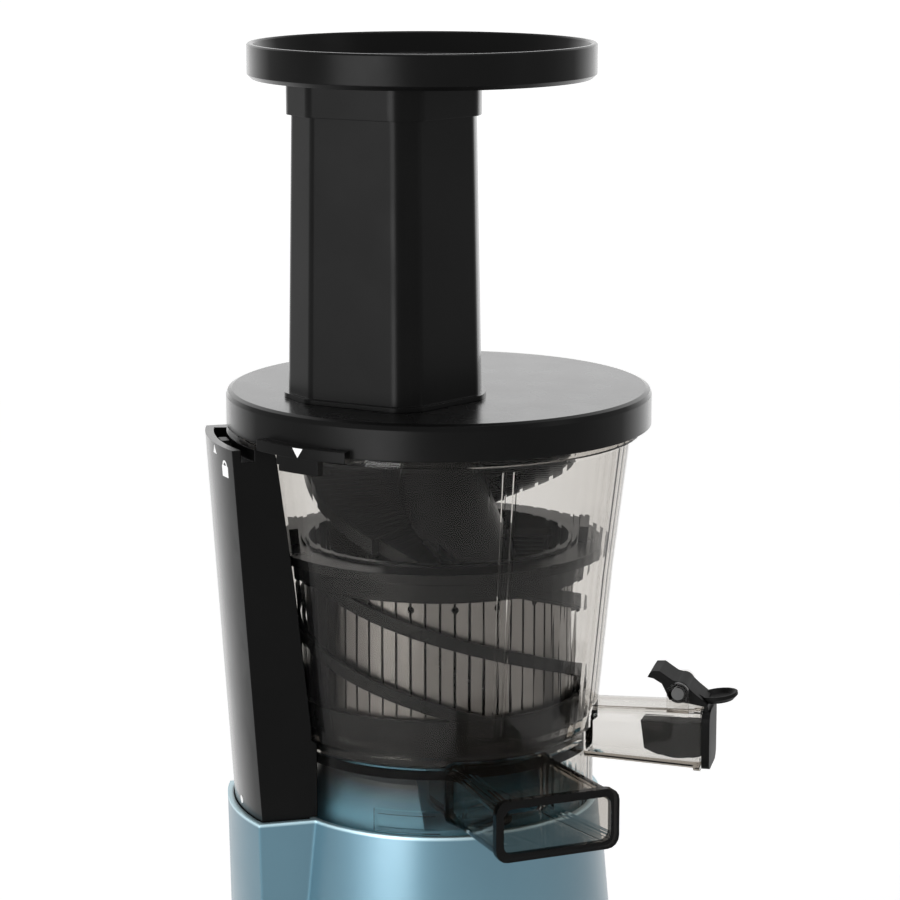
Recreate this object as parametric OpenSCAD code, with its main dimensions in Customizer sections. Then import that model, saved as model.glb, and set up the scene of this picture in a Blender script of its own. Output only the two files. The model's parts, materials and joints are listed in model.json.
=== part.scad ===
// Cold press juicer: a blue drive base, a clear juicing bowl with an auger, a strainer and a
// turning brush cage, and a black lid with a tall off-centre feed chute and a round feed tray.
// The bowl's axis is Z, the surface that it stands on is Z = 0, and the front is -Y.

/* [Base] */
// Height of the base's rim above the surface
base_rim_z = 160; // [150:1:175]
// Outer radius of the rim
base_rim_r = 54; // [53:0.5:58]
// Radius that the base gains for each millimetre down
base_flare = 0.09; // [0.04:0.01:0.12]
// Wall at the rim
base_wall = 1.8; // [1.4:0.1:2]
// Depth of the deck's top below the rim
deck_drop = 3; // [2:0.5:6]
// Thickness of the deck
deck_t = 2.5; // [2:0.5:4]
// Radius of the deck's raised centre at its foot
dome_low_r = 46; // [42:0.5:47]
// Radius of the raised centre at its top
dome_top_r = 40; // [36:0.5:41]
// Height of the raised centre above the deck
dome_h = 18; // [14:0.5:18]
// Height of the foot ring
foot_h = 3.5; // [2:0.5:6]
// Width of the foot ring
foot_w = 9; // [6:0.5:12]
// Thickness of the bottom cover
cover_t = 3; // [2:0.5:4]

/* [Lock post] */
// Direction of the post around the axis, in degrees
post_a = 195; // [190:1:200]
// Half of the post's width
post_half = 22; // [18:0.5:24]
// Outer radius of the post at its top
post_top_r = 77; // [75:0.5:80]
// Outer radius of the post at the base's rim
post_low_r = 69; // [67:0.5:71]
// Height of the post's top above the bowl's flange
post_rise = 0.5; // [0:0.1:1.5]
// Length of the post's tongue below the base's rim
tongue_h = 8; // [6:0.5:10]
// Width of the ridge of the base around the tongue
ridge_w = 2.4; // [2:0.1:3]
// Radius of the interlock rod
rod_r = 2; // [1.6:0.1:2]
// Travel of the interlock rod
rod_travel = 3.4; // [3:0.1:3.4]

/* [Bowl] */
// Wall of the bowl
bowl_wall = 2.2; // [1.6:0.1:2.6]
// Outer radius of the skirt that plugs into the base
skirt_r = 51.8; // [50:0.1:51.8]
// Outer radius of the bowl above the skirt
bowl_low_r = 53.4; // [52.6:0.1:54]
// Outer radius of the bowl at the middle
bowl_mid_r = 57.9; // [56:0.1:59]
// Outer radius of the bowl under its flange
bowl_top_r = 63.1; // [61:0.1:64]
// Height of the underside of the bowl's floor above the base's rim
floor_up = 18; // [17:0.5:20]
// Thickness of the floor
floor_t = 3; // [2:0.5:3]
// Height of the bowl from the underside of its floor to its flange
bowl_h = 105.5; // [104.5:0.5:106]
// Radius of the flange
flange_r = 66.5; // [66:0.5:67]

/* [Spouts] */
// Direction of the residue spout, in degrees
pulp_a = 293; // [288:1:298]
// Distance of the residue spout's mouth from the axis
pulp_l = 95; // [88:1:105]
// Width of the residue spout at its mouth
pulp_w = 40.4; // [34:0.2:42]
// Width of the residue duct under the bowl
pulp_root_w = 30; // [28:0.2:38]
// Height of the residue spout's top above the floor's underside
pulp_rise = 6.5; // [5:0.5:8]
// Depth of the residue spout's mouth below the floor's underside
pulp_drop = 11.6; // [9:0.2:14]
// Depth of the residue duct below the floor's underside
pulp_root_drop = 16; // [13:0.5:17]
// Width that the residue spout gains on each side at its root
pulp_flare = 2.4; // [0:0.2:3]
// Wall of both spouts
spout_wall = 1.8; // [1.4:0.1:2]
// Direction of the juice spout, in degrees
juice_a = 347.5; // [344:0.5:350]
// Distance of the juice spout's mouth from the axis
juice_l = 89.6; // [86:0.2:94]
// Width of the juice spout
juice_w = 18; // [16:0.5:20]
// Height of the juice spout's top above the floor's underside
juice_rise = 16.5; // [15:0.5:17]
// Depth of the juice spout's bottom below the floor's underside
juice_drop = 3.8; // [3:0.2:5]
// Distance of the cap's hinge pin behind the mouth
hinge_back = 7.6; // [7:0.2:9]
// Height of the hinge pin above the juice spout
hinge_up = 5.5; // [5:0.1:7]
// Radius of the hinge pin
hinge_r = 2.1; // [1.6:0.1:2.4]

/* [Lid] */
// Height of the lid's top above the bowl's flange
lid_rise = 14.5; // [14.5:0.5:16.5]
// Radius of the lid
lid_r = 70; // [70:0.5:72]
// Height of the lid's skirt
lid_skirt_h = 11.7; // [11:0.1:12]
// Thickness of the lid's plate
lid_t = 2.5; // [2:0.1:2.5]
// Wall of the lid's skirt
lid_wall = 2.4; // [2:0.1:2.4]
// Turn of the lid from open to locked, in degrees
lid_turn = 36; // [30:1:36]
// Direction of the hook's middle on the open lid, in degrees
hook_a = 233; // [231:0.5:234]

/* [Feed chute and tray] */
// Distance of the chute's axis to the right; negative is to the left
chute_x = -17.3; // [-19:0.1:-15]
// Distance of the chute's axis to the back; negative is to the front
chute_y = -18; // [-20:0.1:-16]
// Radius of the chute's round stretches
chute_r = 31.2; // [29:0.1:32]
// Distance of the flat front face from the chute's axis
chute_flat = 25.4; // [24:0.1:28]
// Wall of the chute
chute_wall = 2.4; // [2:0.1:3]
// Height of the chute above the lid
chute_h = 101; // [80:1:130]
// Chute size at its top as a share of its size at the lid
chute_taper = 0.94; // [0.9:0.01:1]
// Radius of the feed tray
tray_r = 56.3; // [52:0.1:62]
// Height of the feed tray's rim
tray_h = 11.2; // [9:0.1:20]
// Distance of the tray's middle to the right; negative is to the left
tray_x = -5.3; // [-8:0.1:-3]
// Distance of the tray's middle to the back; negative is to the front
tray_y = -4.4; // [-7:0.1:-2]
// Wall of the tray
tray_wall = 2; // [1.6:0.1:3]
// Depth of the sleeve under the tray
sleeve_h = 10.4; // [8:0.1:14]

/* [Juicing set] */
// Outer radius of the steel screen
screen_r = 45.2; // [44:0.1:45.2]
// Thickness of the screen
screen_t = 1; // [0.8:0.1:1.2]
// Height of the screen's lower edge above the floor's underside
screen_up = 17.4; // [16:0.2:20]
// Height of the screen
screen_h = 42.1; // [36:0.1:44]
// Height of the strainer's collar above the screen
collar_h = 10.5; // [9:0.5:12]
// Gap between the strainer's flange and the bowl's wall
flange_play = 1; // [0.8:0.1:2]
// Slots around the screen
slot_count = 60; // [36:2:72]
// Rows of slots
slot_rows = 1; // [1:1:4]
// Width of a slot
slot_w = 0.8; // [0.6:0.1:1.4]
// Radius of the auger's flights at the top
flight_top_r = 34; // [28:0.5:38]
// Radius of the auger's flights at the bottom
flight_low_r = 42.4; // [38:0.2:42.6]
// Radius of the auger's body at the bottom
auger_low_r = 34; // [26:0.5:36]
// Radius of the auger's body at the top
auger_top_r = 11; // [9:0.5:16]
// Flights around the auger's lower half
fine_flights = 4; // [2:1:5]
// Turn of a lower flight, in degrees
fine_turn = 130; // [90:5:180]
// Radius of the upper flights, above the strainer
coarse_r = 46.5; // [42:0.5:48]
// Rise of an upper flight over a full turn
coarse_lead = 128; // [100:2:150]
// Direction at which an upper flight starts, in degrees
coarse_a = 160; // [150:1:170]
// Arms of the brush cage
arm_count = 4; // [2:1:6]
// Turn of an arm, in degrees
arm_turn = 171; // [100:1:180]
// Direction at which an arm starts, in degrees
arm_a = 212; // [200:1:289]
// Height of an arm's section
arm_h = 4.4; // [3:0.2:6]

/* [Drive] */
// Radius of the drive shaft
shaft_r = 6; // [5:0.1:7]
// Height of the drive shaft's top above the floor's underside
shaft_up = 26; // [20:1:30]
// Module of the gears in the bowl
bowl_module = 1.5; // [1.5:0.1:1.5]
// Teeth of the auger's gear
sun_teeth = 27; // [27:1:27]
// Teeth of the idler gear
idler_teeth = 16; // [16:1:16]
// Direction of the idler around the axis, in degrees
idler_a = 113; // [100:1:130]
// Teeth of the small gears in the gear case
small_teeth = 12; // [12:1:12]
// Teeth of the large gears in the gear case
large_teeth = 54; // [54:1:54]
// Direction of the stage gear around the axis, in degrees
stage_a = 90; // [0:5:180]
// Radius of the motor's can
motor_r = 37; // [32:0.5:42]
// Height of the motor's can
motor_h = 56; // [48:1:58]
// Radius of the rotor's shaft
rotor_shaft_r = 3; // [2.5:0.1:4]

/* [Controls] */
// Radius of the control knob
knob_r = 15; // [12:0.5:18]
// Height of the knob's middle
knob_z = 52; // [46:1:56]
// Distance that the knob stands out
knob_h = 13; // [9:0.5:16]

/* [Clearances] */
// Radial clearance of a shaft in its bearing
running_gap = 0.05; // [0.02:0.01:0.1]
// Clearance of a sliding or a loose fit
loose_gap = 0.4; // [0.3:0.05:0.5]
// Distance of a piece from the seat that it rests on
seat_gap = 0.25; // [0.1:0.05:0.3]
// Play of the gears at the pitch circle
gear_play = 0.3; // [0.2:0.05:0.4]

/* [Hidden] */
$fn = 96;
// Facets round the bowl's wall
bowl_fn = 72;
eps = 0.01;

// Heights of the base
deck_z = base_rim_z - deck_drop;
dome_z = deck_z + dome_h;
cover_z = foot_h;
cover_top_z = cover_z + cover_t;
function base_r(z) = base_rim_r + base_flare * (base_rim_z - z);
rim_in_r = base_rim_r - base_wall;

// Heights of the bowl, all from the base's rim
floor_z = base_rim_z + floor_up;
flange_z = floor_z + bowl_h;
post_top_z = flange_z + post_rise;
lid_top_z = flange_z + lid_rise;
pulp_top_z = floor_z + pulp_rise;
pulp_low_z = floor_z - pulp_drop;
pulp_root_z = floor_z - pulp_root_drop;
juice_top_z = floor_z + juice_rise;
juice_low_z = floor_z - juice_drop;
floor_top_z = floor_z + floor_t;
skirt_top_z = floor_top_z + 5;
bowl_low_z = skirt_top_z + 4.5;
bowl_mid_z = bowl_low_z + 48;
flange_t = 2;
flange_top_z = flange_z + flange_t;
lid_plate_z = lid_top_z - lid_t;
lid_low_z = lid_top_z - lid_skirt_h;
neck_top_z = lid_plate_z - seat_gap;
lid_in_r = lid_r - lid_wall;
neck_r = lid_in_r - 2.4;
neck_wall = 2.2;
lug_angle = 16;
lug_h = 2;
lid_lug_z = flange_top_z + 1.3;
bowl_lug_z = lid_lug_z + lug_h + 0.7;

// Hinge of the juice cap, along the spout's direction
hinge_l = juice_l - hinge_back;
hinge_z = juice_top_z + hinge_up;
ear_t = 1.6;
ear_half = juice_w / 2;

// Chute
chute_top_z = lid_top_z + chute_h;
tray_floor_z = chute_top_z + seat_gap;
tray_top_z = tray_floor_z + tray_h;
sleeve_wall = 1.3;

// Juicing set
screen_low_z = floor_z + screen_up;
screen_top_z = screen_low_z + screen_h;
strainer_top_z = screen_top_z + collar_h;
strainer_flange_z = strainer_top_z - 4;
shaft_top_z = floor_z + shaft_up;
hub_r = 9;
hub_z = dome_z + 1;
bush_r = 5;
bush_h = 8;
auger_top_z = lid_plate_z - 13;
auger_z = floor_top_z + 12.4;
gear_z = floor_top_z + 1;
gear_h = 5;
strainer_z = gear_z + gear_h + 1.4;
strainer_floor_t = 2.4;
ring_teeth = sun_teeth + 2 * idler_teeth;
idler_l = bowl_module * (sun_teeth + idler_teeth) / 2;
idler_pin_r = 3;
ring_r = 48.6;
arm_in_r = screen_r + 1.5;
arm_t = 1.8;
wiper_in_r = screen_r + 0.45;
arm_low_z = gear_z + gear_h + 9.2;
arm_top_z = screen_top_z - 1;

// Gear case
case_z = cover_top_z + motor_h + 10;
case_wall = 3;
case_r = rim_in_r - 0.4;
case_module = (case_r - case_wall) / (small_teeth / 2 + large_teeth + 1);
bearing_h = 12;
stage_l = case_module * (small_teeth + large_teeth) / 2;
stage_z = case_z + case_wall + 1;
out_z = stage_z + 8;
case_top_z = out_z + 12;
stage_pin_r = 2.5;
can_z = cover_top_z + 8;
hex_z = dome_z - 2;

// Ring between two radii and two heights
module ring(r_in, r_out, z_low, z_top) {
  translate([0, 0, z_low])
    difference() {
      cylinder(r = r_out, h = z_top - z_low);
      translate([0, 0, -1]) cylinder(r = r_in, h = z_top - z_low + 2);
    }
}

// Side profile of points (distance, height), drawn across the direction a
module rib(a, width, points) {
  rotate([0, 0, a]) rotate([90, 0, 0])
    linear_extrude(height = width, center = true) polygon(points);
}

// Arc-shaped lug
module lug(a, span, r_in, r_out, z_low, height) {
  rotate([0, 0, a - span / 2]) translate([0, 0, z_low])
    rotate_extrude(angle = span)
      translate([r_in, 0]) square([r_out - r_in, height]);
}

// Rounded rectangle across the direction of a spout
module mouth(width, height, radius) {
  rotate([90, 0, 90]) linear_extrude(height = 0.1)
    hull()
      for (x = [-1, 1], y = [radius, height - radius])
        translate([x * (width / 2 - radius), y]) circle(r = radius, $fn = 16);
}

// Involute tooth outline, for module m and n teeth; play thins the teeth
function inv_angle(rb, r) = sqrt(r * r / (rb * rb) - 1) * 180 / PI - acos(rb / r);
function flank_angle(m, n, r, play) =
  let (rp = m * n / 2, rb = rp * cos(25))
  90 / n - play / rp * 90 / PI + inv_angle(rb, rp) - inv_angle(rb, max(r, rb));
function tooth(m, n, i, add, ded, play) =
  let (rp = m * n / 2, low = rp - ded, top = rp + add, rb = rp * cos(25), start = max(low, rb + eps))
  concat(
    [for (k = [0:3]) let (r = start + (top - start) * k / 3, a = i * 360 / n - flank_angle(m, n, r, play))
      [r * cos(a), r * sin(a)]],
    [for (k = [3:-1:0])
      let (r = start + (top - start) * k / 3, a = i * 360 / n + flank_angle(m, n, r, play))
      [r * cos(a), r * sin(a)]],
    [let (a = (i + 0.3) * 360 / n) [low * cos(a), low * sin(a)],
     let (a = (i + 0.7) * 360 / n) [low * cos(a), low * sin(a)]]
  );
module gear_outline(m, n, add, ded, play) {
  polygon([for (i = [0:n - 1]) each tooth(m, n, i, add, ded, play)]);
}
module spur(m, n, z_low, height) {
  translate([0, 0, z_low]) linear_extrude(height = height)
    gear_outline(m, n, 0.9 * m, 1.2 * m, gear_play);
}

// Band that winds round the axis: inner and outer radius and the section's low and high edge,
// each given at the start and at the end
module helix(r_in, r_out, z_start, z_end, height, a_start, turn, steps) {
  n = steps;
  function mixed(v, t) = v[0] + (v[1] - v[0]) * t;
  pts = [
    for (i = [0:n])
      let (t = i / n, a = a_start + turn * t, z = z_start + (z_end - z_start) * t,
           ri = mixed(r_in, t), ro = mixed(r_out, t), h = mixed(height, t))
      each [
        [ri * cos(a), ri * sin(a), z], [ro * cos(a), ro * sin(a), z],
        [ro * cos(a), ro * sin(a), z + h], [ri * cos(a), ri * sin(a), z + h]
      ]
  ];
  // Quads split so that the faces wind outward for a positive turn
  side = [
    for (i = [0:n - 1], k = [0:3])
      let (p = 4 * i + k, q = 4 * i + (k + 1) % 4, r = q + 4, s = p + 4)
      each [[p, q, r], [p, r, s]]
  ];
  ends = [[3, 2, 1], [3, 1, 0], [4 * n, 4 * n + 1, 4 * n + 2], [4 * n, 4 * n + 2, 4 * n + 3]];
  polyhedron(points = pts, faces = turn > 0 ? concat(side, ends) : [for (f = concat(side, ends)) [f[2],
      f[1], f[0]]]);
}

// Outline of the chute: round with flat faces, grown by g
module chute_outline(g = 0) {
  offset(r = 5 + g, $fn = 64) offset(delta = -5)
    intersection() {
      circle(r = chute_r, $fn = 64);
      rotate(241.7) translate([-2 * chute_r, -2 * chute_r])
        square([2 * chute_r + chute_flat, 4 * chute_r]);
      rotate(318) translate([-2 * chute_r, -2 * chute_r])
        square([2 * chute_r + chute_flat + 2.8, 4 * chute_r]);
      rotate(210.9) translate([-2 * chute_r, -2 * chute_r])
        square([2 * chute_r + chute_flat + 3.2, 4 * chute_r]);
    }
}
module chute_prism(g, z_low, height) {
  translate([chute_x, chute_y, z_low])
    linear_extrude(height = height, scale = 1 - (1 - chute_taper) * height / chute_h) chute_outline(g);
}
module sleeve_prism(g, z_low, height) {
  translate([chute_x, chute_y, z_low])
    linear_extrude(height = height) scale(chute_taper + 0.006) chute_outline(g);
}

module feed_tray() {
  color("#1b1b1c")
    difference() {
      union() {
        translate([tray_x, tray_y, 0]) rotate_extrude()
          polygon([
            [0, tray_floor_z], [tray_r - 1.4, tray_floor_z], [tray_r, tray_floor_z + 1.4],
            [tray_r, tray_top_z - 0.5],
            [tray_r - 0.5, tray_top_z], [tray_r - tray_wall + 0.5, tray_top_z],
            [tray_r - tray_wall, tray_top_z - 0.5], [tray_r - tray_wall - 2, tray_floor_z + 4.2],
            [0, tray_floor_z + 2]
          ]);
        sleeve_prism(loose_gap + sleeve_wall, tray_floor_z - sleeve_h, sleeve_h + 1);
      }
      sleeve_prism(loose_gap, tray_floor_z - sleeve_h - 1, sleeve_h + 1);
      sleeve_prism(-chute_wall, tray_floor_z - 1, tray_h);
    }
}

hook_in_r = lid_r + 0.6;
hook_out_r = lid_r + 3.6;
hook_low_z = lid_low_z - 5.7;
// Hook under the tab, with a ramp at the end that meets the rod first
module hook() {
  difference() {
    lug(hook_a, 13, hook_in_r, hook_out_r, hook_low_z, 5.2);
    rotate([0, 0, hook_a - 6.5]) translate([hook_in_r - 1, 0, hook_low_z])
      rotate([0, -90, 180]) rotate([0, 0, 0]) linear_extrude(height = 6)
        polygon([[-1, -1], [1.9, -1], [1.9, 0], [-0.1, 4.2], [-1, 4.2]]);
  }
}
module hopper_lid() {
  color("#1b1b1c") {
    difference() {
      union() {
        rotate_extrude()
          polygon([
            [0, lid_plate_z], [lid_in_r, lid_plate_z], [lid_in_r, lid_low_z], [lid_r, lid_low_z],
            [lid_r, lid_top_z - 2], [lid_r - 0.6, lid_top_z - 0.6], [lid_r - 2, lid_top_z], [0, lid_top_z]
          ]);
        // Boss of the auger's upper bearing
        translate([0, 0, lid_plate_z - bush_h - 2]) cylinder(r = bush_r + 5.5, h = bush_h + 3);
      }
      difference() {
        chute_prism(-chute_wall, lid_plate_z - bush_h - 3, chute_h + lid_t + bush_h + 4);
        translate([0, 0, lid_plate_z - bush_h - 4]) cylinder(r = bush_r + 5.5, h = bush_h + lid_t + 4);
      }
      translate([0, 0, lid_plate_z - bush_h - 3]) cylinder(r = bush_r + 2.5, h = bush_h + 3);
    }
    // Lugs of the bayonet
    for (k = [0:3])
      lug(k * 90, lug_angle, neck_r + loose_gap, lid_in_r + 0.2, lid_lug_z, lug_h);
    // Tab with the hook that presses the interlock rod
    lug(hook_a, 28, lid_r - 0.3, lid_r + 3.8, lid_low_z - 0.9, 3.6);
    hook();
  }
}

// The chute stands on the lid's plate and is welded to it
module feed_chute() {
  color("#1b1b1c")
    difference() {
      union() {
        chute_prism(0, lid_top_z, chute_h);
        chute_prism(1.4, lid_top_z, 1.6);
      }
      chute_prism(-chute_wall, lid_top_z - 1, chute_h + 2);
    }
}

module lid_bush() {
  color("#d8d8d4") ring(bush_r + running_gap, bush_r + 2.5 - 0.02, lid_plate_z - bush_h, lid_plate_z);
}

// Solid of revolution inside the bowl's wall, down to the floor
module bowl_outer() {
  rotate_extrude($fn = bowl_fn)
    polygon([
      [0, deck_z + 0.6], [skirt_r, deck_z + 0.6], [skirt_r, skirt_top_z - 1],
      [bowl_low_r, skirt_top_z + 0.6],
      [bowl_low_r, bowl_low_z], [bowl_mid_r, bowl_mid_z], [bowl_top_r, flange_z - 2],
      [bowl_top_r + 1, flange_z],
      [flange_r, flange_z], [flange_r, flange_top_z], [neck_r, flange_top_z], [neck_r, neck_top_z],
      [0, neck_top_z]
    ]);
}
module bowl_upper_inner() {
  rotate_extrude($fn = bowl_fn)
    polygon([
      [0, floor_top_z], [skirt_r - bowl_wall - 0.8, floor_top_z],
      [skirt_r - bowl_wall, floor_top_z + 0.8],
      [skirt_r - bowl_wall, skirt_top_z], [bowl_low_r - bowl_wall, bowl_low_z],
      [bowl_mid_r - bowl_wall, bowl_mid_z], [bowl_top_r - bowl_wall, flange_z],
      [bowl_top_r - bowl_wall, neck_top_z + 1], [0, neck_top_z + 1]
    ]);
}
module bowl_lower_inner() {
  ring(0, skirt_r - bowl_wall, deck_z - 1, floor_z);
}
pulp_in_l = 24;
// Section of the residue duct at the distance l, grown by g and by flare on each side
module pulp_section(g, l, flare) {
  t = (l - pulp_in_l) / (pulp_l - pulp_in_l);
  low_z = pulp_root_z + (pulp_low_z - pulp_root_z) * t;
  translate([l, 0, low_z - g])
    mouth(pulp_root_w + (pulp_w - pulp_root_w) * t + 2 * (g + flare), pulp_top_z - low_z + 2 * g, 3);
}
module pulp_duct(g, extra) {
  rotate([0, 0, pulp_a]) hull() {
    pulp_section(g, pulp_in_l - g, 0);
    pulp_section(g, pulp_l - 0.1 + extra, 0);
  }
}
// Flared root of the residue spout
module pulp_root(g) {
  root_l = skirt_r - 6;
  rotate([0, 0, pulp_a]) for (k = [0:2])
    hull() {
      pulp_section(g, root_l + k * 5, pulp_flare * (1 - k / 3) * (1 - k / 3));
      pulp_section(g, root_l + (k + 1) * 5, pulp_flare * (1 - (k + 1) / 3) * (1 - (k + 1) / 3));
    }
}
juice_in_l = bowl_low_r - 6;
juice_fall = 2;
module juice_duct(g, start, end) {
  rotate([0, 0, juice_a]) hull() {
    translate([start, 0, juice_low_z + juice_fall - g])
      mouth(juice_w + 2 * g, juice_top_z - juice_low_z - 3 + 2 * g, 3);
    translate([juice_l - 0.1 + end, 0, juice_low_z - g])
      mouth(juice_w + 2 * g, juice_top_z - juice_low_z + 2 * g, 3);
  }
}
// Opening in the floor above the residue duct
pulp_hole_l = 26;
pulp_hole = [14, 24];
module pulp_opening(g, z_low, height) {
  rotate([0, 0, pulp_a]) translate([pulp_hole_l - g, -pulp_hole[1] / 2 - g, z_low])
    cube([pulp_hole[0] + 2 * g, pulp_hole[1] + 2 * g, height]);
}
// Frame on the skirt, above the base's rim
module skirt_frame() {
  a = 258.6;
  low_z = base_rim_z + 0.8;
  difference() {
    lug(a, 24, skirt_r - 0.7, skirt_r + 1.2, low_z, 7.4);
    lug(a, 20.8, skirt_r + 0.4, skirt_r + 3, low_z + 1.5, 4.4);
  }
}
// Upright ribs on the bowl's outside
module bowl_ribs() {
  for (a = [289, 292.3])
    rib(a, 1.1, [
      [bowl_low_r - 0.8, bowl_low_z + 2], [bowl_low_r + 0.5, bowl_low_z + 2],
      [bowl_mid_r + 0.8, bowl_mid_z],
      [bowl_top_r + 0.8, flange_z - 2.5], [bowl_top_r - 0.8, flange_z - 2.5],
      [bowl_mid_r - 0.8, bowl_mid_z]
    ]);
}
module bowl() {
  color("#6f7478", 0.5) {
    difference() {
      union() {
        difference() {
          bowl_outer();
          bowl_upper_inner();
          bowl_lower_inner();
        }
        skirt_frame();
        bowl_ribs();
        // Residue duct under the floor, out to the skirt
        intersection() {
          pulp_duct(0, 0);
          translate([0, 0, deck_z - 1]) cylinder(r = skirt_r - 0.6, h = floor_z + 1 - deck_z);
        }
        // Collar around the auger's hub
        ring(hub_r + 3.5, hub_r + 6, floor_z - 3, floor_z + 0.5);
      }
      intersection() {
        pulp_duct(-spout_wall, spout_wall + 1);
        translate([0, 0, deck_z - 1]) cylinder(r = skirt_r + 9, h = floor_z + 1 - deck_z);
      }
      juice_duct(-spout_wall, juice_in_l - 4, spout_wall + 1);
      pulp_opening(0, floor_z - 1, floor_t + 2);
      translate([0, 0, floor_z - 4]) cylinder(r = hub_r + 3.5, h = floor_t + 6);
      // Seat of the idler's pin
      rotate([0, 0, idler_a]) translate([idler_l, 0, floor_z - 1])
        cylinder(r = idler_pin_r + 0.02, h = floor_t + 2);
      // Port of the residue plug
      rotate([0, 0, pulp_a]) translate([42, 0, pulp_root_z - 1]) cylinder(r = 6.02, h = spout_wall + 2);
    }
    // Lugs of the bayonet
    for (k = [0:3])
      lug(k * 90 - lid_turn, lug_angle, neck_r - 0.2, lid_in_r - loose_gap, bowl_lug_z, lug_h);
  }
}

// Flared spout outside the skirt, welded to it
module residue_spout() {
  color("#6f7478", 0.5)
    difference() {
      union() {
        pulp_duct(0, 0);
        pulp_root(0);
        rotate([0, 0, pulp_a]) translate([pulp_l - 2.4, 0, pulp_low_z - 0.8]) hull()
          for (x = [0, 2.3]) translate([x, 0, 0]) mouth(pulp_w + 1.6, pulp_top_z - pulp_low_z + 1.6, 4);
      }
      bowl_outer();
      pulp_duct(-spout_wall, spout_wall + 1);
      pulp_root(-spout_wall);
    }
}

// Spout with the ears of its cap's hinge, welded to the bowl's wall
module juice_spout() {
  color("#6f7478", 0.5)
    rotate([0, 0, juice_a]) difference() {
      union() {
        rotate([0, 0, -juice_a]) difference() {
          union() {
            juice_duct(0, juice_in_l, 0);
            // Band around the mouth
            intersection() {
              juice_duct(0.6, juice_in_l, 0);
              rotate([0, 0, juice_a]) translate([juice_l - 2.2, -juice_w, juice_low_z - 2])
                cube([2.2, 2 * juice_w, juice_top_z - juice_low_z + 4]);
            }
          }
          bowl_outer();
          juice_duct(-spout_wall, juice_in_l - 4, spout_wall + 1);
        }
        for (s = [-1, 1])
          translate([0, s * (ear_half - ear_t / 2), 0])
            rotate([90, 0, 0]) linear_extrude(height = ear_t, center = true)
              union() {
                translate([hinge_l, hinge_z]) circle(r = hinge_r + 1.5);
                translate([hinge_l - hinge_r - 1.5, juice_top_z - 1])
                  square([2 * hinge_r + 3, hinge_up + 1]);
              }
      }
      // Bore of the hinge pin
      translate([hinge_l, 0, hinge_z]) rotate([90, 0, 0])
        cylinder(r = hinge_r + 0.02, h = juice_w + 2, center = true);
    }
}

// Side profile of the interlock rod's head; g grows it and drop lowers its underside
rod_l = bowl_top_r + 2.5;
rod_top_z = hook_low_z + 3;
rod_head_z = flange_z - 7.5;
rod_low_z = base_rim_z - tongue_h - 2;
switch_h = 14;
switch_z = rod_low_z - rod_travel - 0.3 - switch_h;
spring_z = rod_head_z - 24;
spring_h = 12;
module rod_head(g, drop) {
  rib(post_a, 6 + 2 * g, [
    [rod_l - rod_r - g, rod_head_z - drop], [hook_out_r - 0.2 + g, rod_head_z - drop],
    [hook_out_r - 0.2 + g, rod_top_z + g], [hook_in_r + 0.2 - g, rod_top_z + g],
    [hook_in_r + 0.2 - g, flange_z - 4 + g], [rod_l - rod_r - g, flange_z - 4 + g]
  ]);
}

// Black post at the bowl's side: radial section from the bowl's wall to its outer face
module lock_post() {
  slope = (post_top_r - post_low_r) / (post_top_z - base_rim_z);
  tongue_z = base_rim_z - tongue_h;
  color("#1b1b1c")
    difference() {
      intersection() {
        rotate([0, 0, post_a]) translate([40, -post_half, tongue_z])
          cube([50, 2 * post_half, post_top_z - tongue_z]);
        rotate_extrude()
          polygon([
            [base_rim_r + loose_gap, tongue_z], [post_low_r - slope * tongue_h, tongue_z],
            [post_top_r, post_top_z],
            [flange_r + 0.3, post_top_z], [flange_r + 0.3, flange_z - 0.3],
            [bowl_top_r + 1.2, flange_z - 0.3],
            [bowl_top_r + 0.3, flange_z - 2.1], [bowl_mid_r + 0.3, bowl_mid_z],
            [bowl_low_r + 0.1, bowl_low_z],
            [bowl_low_r + 0.1, skirt_top_z + 0.6], [skirt_r + 0.1, skirt_top_z - 1],
            [skirt_r + 0.1, base_rim_z + 0.6], [base_rim_r + loose_gap, base_rim_z + 0.4]
          ]);
      }
      // Slot of the lid's hook, open at the top and at the side that it comes from
      rotate([0, 0, post_a - 14]) translate([0, 0, hook_low_z - 0.5])
        rotate_extrude(angle = 60) translate([hook_in_r - 0.6, 0])
          square([hook_out_r - hook_in_r + 1.2, 8]);
      // Pocket of the rod's head, bore of the rod and seat of its spring
      rod_head(loose_gap, rod_travel + 1);
      rotate([0, 0, post_a]) translate([rod_l, 0, tongue_z - 1])
        cylinder(r = rod_r + running_gap, h = 160);
      rotate([0, 0, post_a]) translate([rod_l, 0, spring_z - 0.1]) cylinder(r = rod_r + 1.7, h = 24);
    }
}

module interlock_rod() {
  color("#d8d8d4") {
    rod_head(0, 0);
    rotate([0, 0, post_a]) translate([rod_l, 0, 0]) {
      translate([0, 0, rod_low_z]) cylinder(r = rod_r, h = rod_head_z - rod_low_z + 1);
      translate([0, 0, spring_z + spring_h + 0.05]) cylinder(r = rod_r + 1.4, h = 2);
    }
  }
}

module rod_spring() {
  turns = 6;
  wire = 0.7;
  color("silver")
    rotate([0, 0, post_a]) translate([rod_l, 0, spring_z])
      helix([rod_r + 0.35, rod_r + 0.35], [rod_r + 0.35 + wire, rod_r + 0.35 + wire], 0, spring_h - wire,
            [wire, wire], 0, 360 * turns, turns * 18);
}

module bowl_seal() {
  color("#3a3a3c") ring(hub_r + 0.08, hub_r + 3.45, floor_z - 1, floor_top_z);
}

module pulp_plug() {
  color("#3a3a3c")
    rotate([0, 0, pulp_a]) translate([42, 0, pulp_root_z - 1]) {
      cylinder(r = 6, h = spout_wall + 1);
      translate([0, 0, -1]) cylinder(r = 7.2, h = 1);
    }
}

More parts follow.
